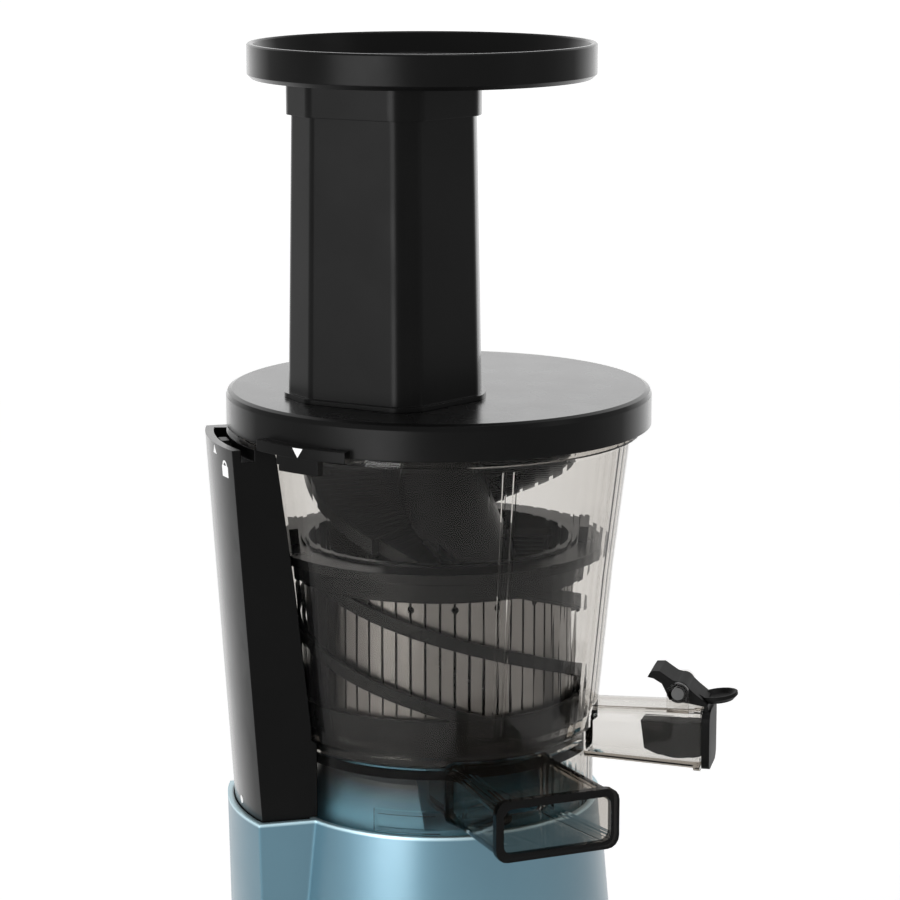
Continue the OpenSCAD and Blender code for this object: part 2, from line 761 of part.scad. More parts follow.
// Closing plug of the juice spout, swept round the hinge so that it swings clear
plug_half = juice_w / 2 - spout_wall - 1.6;
module cap_plug() {
  r_in = hinge_z - juice_top_z + spout_wall + 3.7;
  fall = juice_fall * hinge_back / (juice_l - juice_in_l);
  r_out = hinge_z - juice_low_z - fall - spout_wall - 0.7;
  color("#262628")
    rotate([0, 0, juice_a]) intersection() {
      translate([hinge_l, 0, hinge_z]) rotate([90, 0, 0]) difference() {
        cylinder(r = r_out, h = 2 * plug_half, center = true);
        cylinder(r = r_in, h = 2 * plug_half + 2, center = true);
      }
      rotate([90, 0, 0]) linear_extrude(height = 2 * plug_half + 1, center = true)
        polygon([
          [hinge_l - 12.6, juice_top_z - spout_wall - 3.2], [hinge_l - 10.6, juice_low_z],
          [juice_l + 0.4, juice_low_z], [juice_l + 0.4, juice_top_z - spout_wall - 3.2]
        ]);
    }
}

module juice_cap() {
  front = juice_l + 0.45;
  color("#1b1b1c")
    rotate([0, 0, juice_a]) difference() {
      union() {
        // Lever over the pin
        rotate([90, 0, 0]) linear_extrude(height = juice_w - 2 * ear_t - 1, center = true)
          union() {
            translate([hinge_l, hinge_z]) circle(r = hinge_r + 1.5);
            polygon([
              [hinge_l - 10.4, hinge_z + 4.6], [hinge_l - 9.2, hinge_z + 6.6],
              [hinge_l - 6.4, hinge_z + 6.8],
              [hinge_l - 2, hinge_z + 3.9], [hinge_l + 1.6, hinge_z + 3.1], [hinge_l + 5, hinge_z],
              [front + 1.6, hinge_z - 3.6], [front + 2.2, juice_top_z - 4], [front + 0.4, juice_top_z - 4],
              [front + 0.4, hinge_z - 4.4], [hinge_l - 3, hinge_z - 2.6], [hinge_l - 5.6, hinge_z + 2.6],
              [hinge_l - 8.4, hinge_z + 4.2]
            ]);
          }
        // Plate that covers the mouth
        hull()
          for (x = [0, 2.5])
            translate([front + x, 0, juice_low_z]) mouth(juice_w, juice_top_z - juice_low_z - 0.4, 3.4);
        // Thumb rest, dished, on its neck
        translate([hinge_l + 12.6, 0, hinge_z - 4]) rotate([0, -8, 0]) rotate_extrude($fn = 28)
          polygon([[0, 0], [4.8, 0.3], [6.4, 1.7], [6.4, 2.7], [5.6, 2.8], [4, 1.5], [0, 1.2]]);
        hull() {
          translate([hinge_l + 3, -4.5, hinge_z - 1.4]) cube([1, 9, 1.6]);
          translate([hinge_l + 8.4, -4, hinge_z - 4.2]) cube([1, 8, 1.6]);
        }
      }
      translate([hinge_l, 0, hinge_z]) rotate([90, 0, 0])
        cylinder(r = hinge_r + running_gap, h = juice_w, center = true);
    }
}

module cap_pin() {
  color("silver")
    rotate([0, 0, juice_a]) translate([hinge_l, 0, hinge_z]) rotate([90, 0, 0])
      cylinder(r = hinge_r, h = juice_w, center = true);
}

module strainer_frame() {
  in_r = screen_r - screen_t;
  flange_out_r = bowl_mid_r - bowl_wall - flange_play
    + (bowl_top_r - bowl_mid_r) * (strainer_flange_z - bowl_mid_z) / (flange_z - 2 - bowl_mid_z);
  color("#202022")
    difference() {
      union() {
        ring(in_r - 1.4, screen_r, screen_top_z, strainer_top_z);
        // Flange that centres the strainer in the bowl, and its lifting tabs
        ring(in_r - 1, flange_out_r, strainer_flange_z, strainer_top_z - 0.8);
        for (a = [0, 184])
          lug(a, 22, screen_r + 2, screen_r + 5, strainer_flange_z + 1, 7.4);
        ring(in_r - 1.4, screen_r, strainer_z, screen_low_z);
        ring(hub_r + 1, in_r - 1, strainer_z, strainer_z + strainer_floor_t);
        ring(hub_r + 1, hub_r + 3, strainer_z, strainer_z + 4);
        // Ribs behind the screen
        for (k = [0:8])
          rotate([0, 0, k * 40 + 12]) translate([in_r - 1.4, -1.2, screen_low_z - 1])
            cube([1.35, 2.4, screen_top_z - screen_low_z + 2]);
        // Outlet that stands in the bowl's floor opening
        pulp_opening(-0.1, floor_top_z + seat_gap, strainer_z - floor_top_z + 0.5);
      }
      pulp_opening(-2, floor_z, 20);
    }
}

module strainer_screen() {
  in_r = screen_r - screen_t;
  row_h = (screen_top_z - screen_low_z - 2) / slot_rows;
  color("#b8babc")
    difference() {
      ring(in_r, screen_r, screen_low_z, screen_top_z);
      for (k = [0:slot_count - 1], j = [0:slot_rows - 1])
        rotate([0, 0, k * 360 / slot_count + 0.6])
          translate([in_r - 1, -slot_w / 2, screen_low_z + 2 + j * row_h])
            cube([screen_t + 2, slot_w, row_h - 2]);
      // Round heads of every third slot
      for (k = [1:3:slot_count])
        rotate([0, 0, k * 360 / slot_count + 0.6]) translate([in_r - 1, 0, screen_top_z - 4.4])
          rotate([0, 90, 0]) cylinder(r = 1.2, h = screen_t + 2, $fn = 24);
    }
}

module brush_frame() {
  color("#202022") {
    difference() {
      translate([0, 0, gear_z]) cylinder(r = ring_r, h = gear_h);
      translate([0, 0, gear_z - 1]) linear_extrude(height = gear_h + 2)
        gear_outline(bowl_module, ring_teeth, 1.2 * bowl_module, 0.9 * bowl_module, -gear_play);
    }
    ring(arm_in_r + 0.4, ring_r, gear_z + gear_h - 0.5, arm_low_z + 1);
    ring(arm_in_r + 0.4, arm_in_r + 2.6, arm_top_z, arm_top_z + 6);
    for (k = [0:arm_count - 1])
      helix([arm_in_r, arm_in_r], [arm_in_r + arm_t, arm_in_r + arm_t], arm_top_z + 0.8,
          arm_low_z - arm_h + 0.6,
            [arm_h, arm_h], arm_a + k * 360 / arm_count, arm_turn, 30);
  }
}

module brush_wipers() {
  color("#3a3a3c")
    for (k = [0:arm_count - 1])
      helix([wiper_in_r, wiper_in_r], [arm_in_r - 0.06, arm_in_r - 0.06], arm_top_z - 0.6,
          arm_low_z - arm_h + 1.6,
            [arm_h - 2, arm_h - 2], arm_a + k * 360 / arm_count, arm_turn, 30);
}

module idler_gear() {
  color("#d8d8d4")
    rotate([0, 0, idler_a]) translate([idler_l, 0, 0]) difference() {
      rotate([0, 0, 180 / idler_teeth]) spur(bowl_module, idler_teeth, gear_z, gear_h);
      translate([0, 0, gear_z - 1]) cylinder(r = idler_pin_r + running_gap, h = gear_h + 2);
    }
}

module idler_pin() {
  color("silver")
    rotate([0, 0, idler_a]) translate([idler_l, 0, floor_z])
      cylinder(r = idler_pin_r, h = gear_z + gear_h + 0.6 - floor_z);
}

module auger_gear() {
  color("#d8d8d4")
    difference() {
      rotate([0, 0, idler_a]) spur(bowl_module, sun_teeth, gear_z, gear_h);
      translate([0, 0, gear_z - 1]) cylinder(r = hub_r + 0.02, h = gear_h + 2);
    }
}

// Screw of the juicer: a tapering body with crushing flights below and two feeding flights above
module auger() {
  low = auger_z;
  mid = auger_z + 56;
  // The feeding flights fall with the turn and draw in where they enter the strainer
  top_z = auger_top_z - 2.4;
  neck_z = strainer_top_z + 2.6;
  neck_turn = (top_z - neck_z) * 360 / coarse_lead;
  end_turn = 46;
  end_drop = end_turn * coarse_lead / 360;
  color("#232325")
    difference() {
      union() {
        rotate_extrude()
          polygon([
            [0, hub_z], [hub_r, hub_z], [hub_r, low], [auger_low_r, low], [auger_low_r, low + 3],
            [auger_low_r - 4, mid - 18], [auger_low_r - 12, mid], [auger_top_r + 2, auger_top_z - 10],
            [auger_top_r, auger_top_z], [bush_r, auger_top_z + 1], [bush_r, lid_plate_z - 0.6],
            [0, lid_plate_z - 0.6]
          ]);
        for (k = [0:fine_flights - 1])
          helix([auger_low_r - 14, auger_low_r - 2], [flight_top_r + 3, flight_low_r], mid - 2, low + 0.2,
                [2.4, 4], k * 360 / fine_flights, fine_turn, 26);
        for (k = [0:1]) {
          helix([auger_top_r - 3, auger_low_r - 15], [coarse_r - 3, coarse_r], top_z, neck_z,
                [3.4, 5], coarse_a + k * 180, neck_turn, 24);
          helix([auger_low_r - 15.6, auger_low_r - 14], [flight_low_r - 0.4, flight_low_r - 0.3],
              neck_z + 1.1,
                neck_z + 1.1 - end_drop, [4.6, 4.4], coarse_a + neck_turn - 4 + k * 180, end_turn, 14);
        }
      }
      // Socket of the drive shaft
      translate([0, 0, hub_z - 1]) cylinder(r = shaft_r + 0.35, h = shaft_top_z - hub_z + 2.5, $fn = 6);
    }
}

// Plan of the base's ridge around the post, between two radii
module ridge_plan(r_in, r_out, half) {
  rotate([0, 0, post_a]) difference() {
    intersection() {
      translate([0, -half]) square([r_out, 2 * half]);
      circle(r = r_out);
    }
    circle(r = r_in);
  }
}
module base_shell() {
  wall_low = base_wall + 0.8;
  shell_in_z = deck_z - deck_t - 1;
  tongue_z = base_rim_z - tongue_h;
  color("#8ec3dd")
    difference() {
      union() {
        rotate_extrude()
          polygon([
            [rim_in_r, base_rim_z], [base_rim_r, base_rim_z], [base_r(cover_z), cover_z],
            [base_r(cover_z) - wall_low, cover_z], [base_r(cover_z) - wall_low, cover_z + 8],
            [base_r(shell_in_z - 3) - wall_low, shell_in_z - 3], [rim_in_r - 2, shell_in_z],
            [rim_in_r, shell_in_z]
          ]);
        // Ridge that holds the post's tongue
        difference() {
          intersection() {
            translate([0, 0, cover_z]) linear_extrude(height = base_rim_z - cover_z)
              ridge_plan(base_rim_r - 0.5, post_low_r + ridge_w + 0.4, post_half + ridge_w);
            rotate_extrude()
              polygon([[0, cover_z], [base_r(cover_z) + 0.6, cover_z], [post_low_r + ridge_w,
                  base_rim_z], [0, base_rim_z]]);
          }
          rotate_extrude()
            polygon([
              [0, cover_z - 1], [base_r(cover_z) - wall_low, cover_z - 1],
              [base_r(tongue_z - 4) - wall_low, tongue_z - 4],
              [rim_in_r, tongue_z - 3], [rim_in_r, base_rim_z + 1], [0, base_rim_z + 1]
            ]);
        }
      }
      // Pocket of the tongue
      translate([0, 0, tongue_z - seat_gap]) linear_extrude(height = tongue_h + 1)
        ridge_plan(base_rim_r, post_low_r + loose_gap, post_half + loose_gap);
      // Hole of the interlock rod, and the chamber of its switch
      rotate([0, 0, post_a]) translate([rod_l, 0, tongue_z - 20]) cylinder(r = rod_r + 0.6, h = 22);
      translate([0, 0, switch_z - seat_gap]) linear_extrude(height = tongue_z - 3 - switch_z)
        ridge_plan(rim_in_r - 8, post_low_r - 0.4, post_half - 0.6);
      // Hole of the knob's spindle
      translate([0, -base_r(knob_z) + 10, knob_z]) rotate([90, 0, 0]) cylinder(r = 4.2, h = 20);
      // Hole of the cord gland
      translate([0, base_r(30) + 10, 30]) rotate([90, 0, 0]) cylinder(r = 6.1, h = 20);
    }
}

module base_deck() {
  notch_half = pulp_w / 2 + 1.4;
  color("#8ec3dd")
    difference() {
      rotate_extrude()
        polygon([
          [9.2, dome_z], [dome_top_r - 2, dome_z], [dome_top_r, dome_z - 2], [dome_low_r, deck_z],
          [rim_in_r - 0.1, deck_z], [rim_in_r - 0.1, deck_z - deck_t],
          [dome_low_r - deck_t, deck_z - deck_t],
          [dome_top_r - deck_t, dome_z - deck_t - 1], [14, dome_z - deck_t], [14, dome_z - 11],
          [9.2, dome_z - 11]
        ]);
      // Recess under the residue duct, floored by the box below
      rotate([0, 0, pulp_a]) translate([pulp_in_l - 3, -notch_half, pulp_root_z - 2.4])
        cube([60, 2 * notch_half, 30]);
    }
  // Floor and walls of the recess
  color("#8ec3dd")
    rotate([0, 0, pulp_a]) difference() {
      intersection() {
        translate([pulp_in_l - 5, -notch_half - 2, deck_z - deck_t])
          cube([40, 2 * notch_half + 4, dome_z - deck_z]);
        translate([0, 0, deck_z - deck_t])
          cylinder(r1 = dome_low_r - deck_t + 0.2, r2 = dome_top_r - 1, h = dome_z - deck_z);
      }
      translate([pulp_in_l - 3, -notch_half, pulp_root_z - 2.4]) cube([60, 2 * notch_half, 30]);
      translate([pulp_in_l - 3, -notch_half - 0.1, deck_z - deck_t - 1])
        cube([18.5, 2 * notch_half + 0.2, 4.4]);
    }
}

module base_cover() {
  color("#2a2a2c")
    difference() {
      union() {
        ring(0, base_r(cover_z) - base_wall - 1.2, cover_z, cover_top_z);
        for (a = [45:90:315])
          rotate([0, 0, a]) translate([motor_r - 3, 0, cover_top_z - 1])
            cylinder(r = 4, h = can_z - cover_top_z + 1);
      }
      for (a = [0:60:300]) rotate([0, 0, a]) translate([16, -1.5, cover_z - 1])
        cube([12, 3, cover_t + 2]);
      for (a = [45:90:315]) rotate([0, 0, a]) translate([motor_r - 3, 0, cover_z - 1])
        cylinder(r = 1.6, h = 30);
    }
}

module foot_ring() {
  out_r = base_r(cover_z) - 3;
  color("#2a2a2c") ring(out_r - foot_w, out_r, 0, foot_h);
}

module cover_screws() {
  color("silver")
    for (a = [45:90:315])
      rotate([0, 0, a]) translate([motor_r - 3, 0, 0]) {
        translate([0, 0, cover_z - 1.8]) cylinder(r = 3, h = 1.8);
        translate([0, 0, cover_z - 1]) cylinder(r = 1.58, h = can_z - cover_z);
      }
}

module cord_gland() {
  out_y = base_r(30);
  color("#2a2a2c")
    translate([0, out_y + 5, 30]) rotate([90, 0, 0]) difference() {
      union() {
        cylinder(r1 = 6.4, r2 = 8, h = 4);
        cylinder(r = 6, h = 14);
      }
      translate([0, 0, -1]) cylinder(r = 3.5, h = 20);
    }
}

module gear_case() {
  color("#4a4c50")
    difference() {
      union() {
        ring(0, case_r, case_z, case_z + case_wall);
        ring(case_r - 2.4, case_r, case_z, case_top_z);
        ring(0, rotor_shaft_r + 5, can_z + motor_h + 0.1, case_z + 0.5);
      }
      translate([0, 0, can_z]) cylinder(r = rotor_shaft_r + 0.6, h = case_z);
      rotate([0, 0, stage_a]) translate([stage_l, 0, case_z - 1])
        cylinder(r = stage_pin_r + 0.02, h = 10);
    }
}

module gear_case_cover() {
  color("#4a4c50")
    difference() {
      union() {
        ring(0, case_r, case_top_z, case_top_z + 2.6);
        ring(0, shaft_r + 7, case_top_z, case_top_z + bearing_h);
        // Pillars under the deck
        for (a = [0:60:300])
          rotate([0, 0, a]) translate([case_r - 5, 0, case_top_z])
            cylinder(r = 3.2, h = deck_z - deck_t - 0.1 - case_top_z);
      }
      translate([0, 0, case_top_z - 1]) cylinder(r = shaft_r + 3 + 0.02, h = bearing_h + 2);
      rotate([0, 0, stage_a]) translate([stage_l, 0, case_top_z - 1])
        cylinder(r = stage_pin_r + 0.02, h = 10);
    }
}

module case_bearing() {
  color("#c9a45c") ring(shaft_r + running_gap, shaft_r + 3, case_top_z, case_top_z + bearing_h);
}

module deck_bearing() {
  color("#c9a45c") ring(shaft_r + running_gap, 9.18, dome_z - 11, dome_z - 0.5);
}

module drive_shaft() {
  color("silver") {
    translate([0, 0, out_z]) cylinder(r = shaft_r, h = hex_z - out_z);
    translate([0, 0, hex_z]) cylinder(r = shaft_r, h = shaft_top_z - hex_z, $fn = 6);
  }
}

module output_gear() {
  color("#d8d8d4")
    difference() {
      union() {
        rotate([0, 0, stage_a]) spur(case_module, large_teeth, out_z, 8);
        translate([0, 0, out_z + 7]) cylinder(r = shaft_r + 3, h = case_top_z - out_z - 7.2);
      }
      translate([0, 0, out_z - 1]) cylinder(r = shaft_r + 0.02, h = 40);
    }
}

module stage_gear() {
  color("#d8d8d4")
    rotate([0, 0, stage_a]) translate([stage_l, 0, 0]) difference() {
      union() {
        rotate([0, 0, 180 / large_teeth]) spur(case_module, large_teeth, stage_z, 5);
        rotate([0, 0, 180 / small_teeth])
          spur(case_module, small_teeth, stage_z + 4.5, case_top_z - stage_z - 5);
      }
      translate([0, 0, stage_z - 1]) cylinder(r = stage_pin_r + running_gap, h = 40);
    }
}

module stage_pin() {
  color("silver")
    rotate([0, 0, stage_a]) translate([stage_l, 0, case_z])
      cylinder(r = stage_pin_r, h = case_top_z + 2.6 - case_z);
}

module motor_can() {
  color("#7d8084")
    difference() {
      union() {
        ring(motor_r - 2, motor_r, can_z, can_z + motor_h);
        ring(0, motor_r - 1, can_z, can_z + 3);
        ring(0, motor_r - 1, can_z + motor_h - 3, can_z + motor_h);
      }
      translate([0, 0, can_z - 1]) cylinder(r = rotor_shaft_r + 3.02, h = motor_h + 2);
      for (a = [22.5:45:337.5]) rotate([0, 0, a]) translate([18, -2, can_z - 1])
        cube([10, 4, motor_h + 2]);
    }
}

module motor_magnets() {
  color("#3c3c3e")
    for (a = [0, 180])
      lug(a, 140, motor_r - 8, motor_r - 2.05, can_z + 8, motor_h - 16);
}

module motor_bearings() {
  color("#c9a45c")
    for (z = [can_z - 0.5, can_z + motor_h - 5.5])
      ring(rotor_shaft_r + running_gap, rotor_shaft_r + 3, z, z + 5.5);
}

module rotor() {
  color("#9a6a3c") {
    translate([0, 0, cover_top_z + 0.5]) cylinder(r = rotor_shaft_r, h = stage_z + 5 - cover_top_z - 0.5);
    difference() {
      translate([0, 0, can_z + 10]) cylinder(r = motor_r - 9, h = motor_h - 20);
      for (k = [0:11]) rotate([0, 0, k * 30]) translate([motor_r - 14, -1.5, can_z + 9])
        cube([8, 3, motor_h - 18]);
    }
  }
}

module motor_pinion() {
  color("silver")
    difference() {
      rotate([0, 0, stage_a]) spur(case_module, small_teeth, stage_z - 0.4, 5.4);
      translate([0, 0, stage_z - 1]) cylinder(r = rotor_shaft_r + 0.02, h = 8);
    }
}

module motor_fan() {
  fan_z = cover_top_z + 1;
  color("#3c3c3e")
    difference() {
      union() {
        translate([0, 0, fan_z]) cylinder(r = 7, h = 6);
        for (k = [0:8]) rotate([0, 0, k * 40]) translate([5, -0.8, fan_z + 0.5]) cube([22, 1.6, 5]);
      }
      translate([0, 0, fan_z - 1]) cylinder(r = rotor_shaft_r + 0.02, h = 10);
    }
}

// The knob's axis is level and points to the front
face_y = -base_r(knob_z);
module to_front(y) {
  translate([0, y, knob_z]) rotate([90, 0, 0]) children();
}
module control_knob() {
  back_y = face_y - 2.2;
  color("#1b1b1c")
    difference() {
      union() {
        to_front(back_y) rotate_extrude()
          polygon([
            [0, 0], [knob_r + 1.6, 0], [knob_r + 1.6, 2], [knob_r, 3], [knob_r - 1, knob_h - 1.6],
            [knob_r - 2.6, knob_h], [0, knob_h]
          ]);
        to_front(back_y - knob_h + 1) translate([-2, -knob_r + 1.4, 0]) cube([4, 2 * knob_r - 2.8, 4.2]);
      }
      to_front(back_y + 1) cylinder(r = 3.02, h = knob_h - 2);
    }
}
module knob_spindle() {
  color("silver") to_front(face_y + 12) cylinder(r = 3, h = 12 + 2.2 + knob_h - 4);
}
module switch_body() {
  back_y = face_y + 14;
  color("#3c3c3e")
    difference() {
      union() {
        to_front(back_y - 2) translate([-11, -11, -1]) cube([22, 22, 8]);
        to_front(back_y - 9) cylinder(r = 4.1, h = 5.4);
      }
      to_front(back_y + 2) cylinder(r = 3 + running_gap, h = 30);
    }
}

module control_board() {
  board = [30, 1.6, 42];
  color("#2f6b45") translate([-board[0] / 2, case_r - 7.8, case_top_z + 2.6 + seat_gap]) cube(board);
}

module interlock_switch() {
  color("#3c3c3e")
    rotate([0, 0, post_a]) translate([rod_l, 0, switch_z]) {
      translate([-9, -5, 0]) cube([10.5, 10, switch_h - 2]);
      cylinder(r = 1.5, h = switch_h);
    }
}

feed_tray();
feed_chute();
hopper_lid();
lid_bush();
bowl();
residue_spout();
juice_spout();
lock_post();
interlock_rod();
rod_spring();
bowl_seal();
pulp_plug();
juice_cap();
cap_plug();
cap_pin();
strainer_frame();
strainer_screen();
brush_frame();
brush_wipers();
idler_gear();
idler_pin();
auger();
auger_gear();
base_shell();
base_deck();
base_cover();
foot_ring();
cover_screws();
cord_gland();
gear_case();
gear_case_cover();
deck_bearing();
case_bearing();
drive_shaft();
output_gear();
stage_gear();
stage_pin();
motor_can();
motor_magnets();
motor_bearings();
rotor();
motor_pinion();
motor_fan();
control_knob();
knob_spindle();
switch_body();
control_board();
interlock_switch();
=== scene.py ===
"""Looks of the cold press juicer: materials, marks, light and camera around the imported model."""
import json
import math

import bmesh
import bpy
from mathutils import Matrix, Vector


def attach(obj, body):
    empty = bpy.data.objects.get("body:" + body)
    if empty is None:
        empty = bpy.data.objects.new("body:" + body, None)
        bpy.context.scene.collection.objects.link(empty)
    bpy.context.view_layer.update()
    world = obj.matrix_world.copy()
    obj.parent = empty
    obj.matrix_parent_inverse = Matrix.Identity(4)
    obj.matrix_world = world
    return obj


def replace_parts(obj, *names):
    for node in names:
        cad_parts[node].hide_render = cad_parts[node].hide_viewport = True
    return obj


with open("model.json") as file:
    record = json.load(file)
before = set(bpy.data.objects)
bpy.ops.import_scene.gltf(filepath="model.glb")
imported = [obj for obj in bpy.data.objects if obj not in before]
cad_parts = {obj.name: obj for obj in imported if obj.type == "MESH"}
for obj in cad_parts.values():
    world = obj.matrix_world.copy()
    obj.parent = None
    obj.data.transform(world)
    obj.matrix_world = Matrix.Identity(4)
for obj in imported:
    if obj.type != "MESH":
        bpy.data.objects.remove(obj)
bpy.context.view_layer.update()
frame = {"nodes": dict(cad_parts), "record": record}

# Metres in a millimetre: pieces and distances in materials are written in millimetres
MM = 0.001

# ---------------------------------------------------------------- camera
CAMERA_AT = (0.003637, -0.977095, 0.475197)
CAMERA_PITCH = 11.517
LENS = 120.606
SENSOR_WIDTH = 36


def link_to_scene(obj):
    bpy.context.scene.collection.objects.link(obj)
    return obj


def add_camera():
    data = bpy.data.cameras.new("camera")
    data.sensor_width = SENSOR_WIDTH
    data.lens = LENS
    cam = link_to_scene(bpy.data.objects.new("camera", data))
    cam.location = CAMERA_AT
    cam.rotation_euler = (math.radians(90 - CAMERA_PITCH), 0, 0)
    bpy.context.scene.camera = cam


# ---------------------------------------------------------------- materials
EVEN = (1, 1, 1)
COLOUR_DETAIL, BUMP_DETAIL = 4, 2
# Values of the noise between which a colour or a roughness changes
COLOUR_STOPS, ROUGH_STOPS = (0.35, 0.65), (0.3, 0.7)
# How far a surface turns away before its sheen begins and is whole
SHEEN_STOPS = (0.5, 0.85)
BEVEL_SAMPLES = 6
# Colour sockets of a Mix node that is set to RGBA
MIX_A, MIX_B, MIX_RESULT = 6, 7, 2

INPUTS = {
    "metallic": "Metallic", "roughness": "Roughness", "ior": "IOR", "clear": "Transmission Weight",
    "coat": "Coat Weight", "coat_roughness": "Coat Roughness", "coat_ior": "Coat IOR",
    "specular": "Specular IOR Level",
}


class Mat:
    """A node material around one Principled shader."""

    def __init__(self, name):
        self.mat = bpy.data.materials.new(name)
        self.mat.use_nodes = True
        self.tree = self.mat.node_tree
        self.shader = self.tree.nodes["Principled BSDF"]
        self.coords = self.node("ShaderNodeTexCoord").outputs["Object"]
        self.normal = None

    def node(self, kind, **values):
        n = self.tree.nodes.new(kind)
        for key, value in values.items():
            setattr(n, key, value)
        return n

    def link(self, a, b):
        self.tree.links.new(a, b)

    def put(self, **values):
        """Values that are the same all over the surface."""
        for key, value in values.items():
            self.shader.inputs[INPUTS[key]].default_value = value
        return self

    def noise(self, scale, detail, stretch):
        m = self.node("ShaderNodeMapping")
        self.link(self.coords, m.inputs["Vector"])
        m.inputs["Scale"].default_value = stretch
        n = self.node("ShaderNodeTexNoise")
        self.link(m.outputs["Vector"], n.inputs["Vector"])
        n.inputs["Scale"].default_value = scale
        n.inputs["Detail"].default_value = detail
        return n.outputs["Fac"]

    def spread(self, fac, low, high, stops):
        """Changes from low to high between two values of fac."""
        m = self.node("ShaderNodeMapRange")
        self.link(fac, m.inputs["Value"])
        m.inputs["From Min"].default_value, m.inputs["From Max"].default_value = stops
        m.inputs["To Min"].default_value = low
        m.inputs["To Max"].default_value = high
        return m.outputs["Result"]

    def colour(self, low, high, scale, stretch=EVEN):
        r = self.node("ShaderNodeValToRGB")
        self.link(self.noise(scale, COLOUR_DETAIL, stretch), r.inputs["Fac"])
        for stop, place, shade in zip(r.color_ramp.elements, COLOUR_STOPS, (low, high)):
            stop.position = place
            stop.color = (*shade, 1)
        self.link(r.outputs["Color"], self.shader.inputs["Base Color"])
        return self

    def rough(self, low, high, scale, stretch=EVEN):
        fac = self.noise(scale, COLOUR_DETAIL, stretch)
        self.link(self.spread(fac, low, high, ROUGH_STOPS), self.shader.inputs["Roughness"])
        return self

    def edges(self, radius):
        """Edges that catch the light as a moulded part's small radius does."""
        b = self.node("ShaderNodeBevel", samples=BEVEL_SAMPLES)
        b.inputs["Radius"].default_value = radius * MM
        return self.turn_normal(b)

    def bump(self, scale, strength, distance, stretch=EVEN):
        b = self.node("ShaderNodeBump")
        b.inputs["Strength"].default_value = strength
        b.inputs["Distance"].default_value = distance * MM
        self.link(self.noise(scale, BUMP_DETAIL, stretch), b.inputs["Height"])
        if self.normal:
            self.link(self.normal, b.inputs["Normal"])
        return self.turn_normal(b)

    def turn_normal(self, node):
        self.normal = node.outputs["Normal"]
        self.link(self.normal, self.shader.inputs["Normal"])
        return self

    def sheen(self, ior):
        """Clear coat that shows only where the surface turns away from the viewer."""
        facing = self.node("ShaderNodeLayerWeight")
        facing.inputs["Blend"].default_value = 0.5
        weight = self.spread(facing.outputs["Facing"], 0, 1, SHEEN_STOPS)
        self.link(weight, self.shader.inputs["Coat Weight"])
        return self.put(coat_ior=ior)

    def split(self, reach, beyond, direction=(0, 0, 1)):
        """Another colour beyond a reach, in mm, in a direction from the origin."""
        place = self.node("ShaderNodeVectorMath", operation="DOT_PRODUCT")
        self.link(self.coords, place.inputs[0])
        place.inputs[1].default_value = direction
        fac = self.spread(place.outputs["Value"], 0, 1, [d * MM for d in reach])
        mix = self.node("ShaderNodeMix", data_type="RGBA")
        self.link(fac, mix.inputs["Factor"])
        base = self.shader.inputs["Base Color"]
        self.link(base.links[0].from_socket, mix.inputs[MIX_A])
        mix.inputs[MIX_B].default_value = (*beyond, 1)
        self.link(mix.outputs[MIX_RESULT], base)
        return self

    def smoke(self, shade, density):
        """Tint that deepens with the thickness of the wall."""
        v = self.node("ShaderNodeVolumeAbsorption")
        v.inputs["Color"].default_value = (*shade, 1)
        v.inputs["Density"].default_value = density
        self.link(v.outputs["Volume"], self.tree.nodes["Material Output"].inputs["Volume"])
        return self


def grey(v):
    return (v, v, v * 0.99)


# Residue spout: its direction, and distances from the axis between which the painted shade at its mouth
# begins, a dark band that stands in for its rim seen edge-on
RESIDUE_TURN = math.radians(293)
RESIDUE_PAINTED_SHADE = (92.3, 92.6)
# Heights between which the rim's painted highlight begins, a pale line that stands in for light caught on
# its rounded top edge, and those between which the deck's top is painted dark as shade
RIM_PAINTED_HIGHLIGHT, DECK_PAINTED_SHADE = (158.8, 159.7), (161, 172)
# Clear plastic: shade of its smoke, and its density in the bowl and in the residue spout
SMOKE, BOWL_DENSITY, SPOUT_DENSITY = (0.56, 0.52, 0.47), 165, 520

CLEAR = {
    "colour": ((0.95, 0.95, 0.945), (0.98, 0.98, 0.975), 25), "rough": (0.012, 0.04, 40),
    "put": {"clear": 1.0, "ior": 1.2},
}

